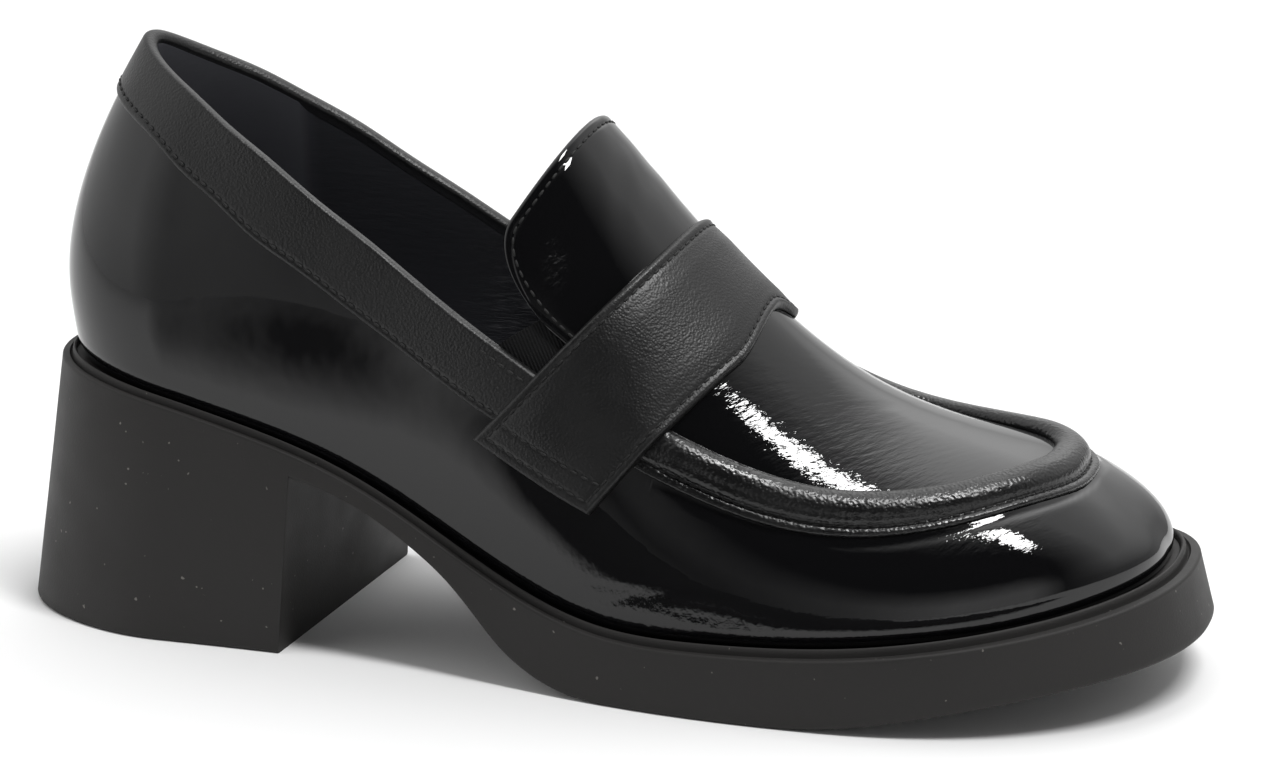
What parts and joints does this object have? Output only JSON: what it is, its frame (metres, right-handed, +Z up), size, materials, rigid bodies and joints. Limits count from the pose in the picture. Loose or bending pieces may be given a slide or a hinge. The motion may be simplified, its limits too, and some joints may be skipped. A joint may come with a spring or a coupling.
{
  "type": "block heel penny loafer",
  "caption": "Block heel slip-on loafer with a glossy hollow upper, saddle strap, raised apron roll, short tongue, collar facing and a moulded platform sole with arch and heel.",
  "frame": {"origin": "on the floor under the middle of the plan box of the shoe", "axes": "+X towards the toe, +Y towards the inner side of the foot, +Z up"},
  "size_m": [0.2588, 0.1014, 0.124],
  "materials": {
    "sole_rubber": "matte moulded",
    "patent_leather": "high gloss patent",
    "insole_leather": "satin",
    "tongue_patent": "high gloss patent",
    "strap_leather": "satin grained",
    "band_leather": "satin grained",
    "roll_leather": "satin grained",
    "gore_elastic": "ribbed elastic"
  },
  "bodies": {
    "root": {"sole_unit": "sole_rubber", "upper": "patent_leather", "insole": "insole_leather", "tongue": "tongue_patent", "strap": "strap_leather", "collar_band": "band_leather", "apron_roll": "roll_leather", "gore_lateral": "gore_elastic", "gore_medial": "gore_elastic"}
  },
  "joints": []
}
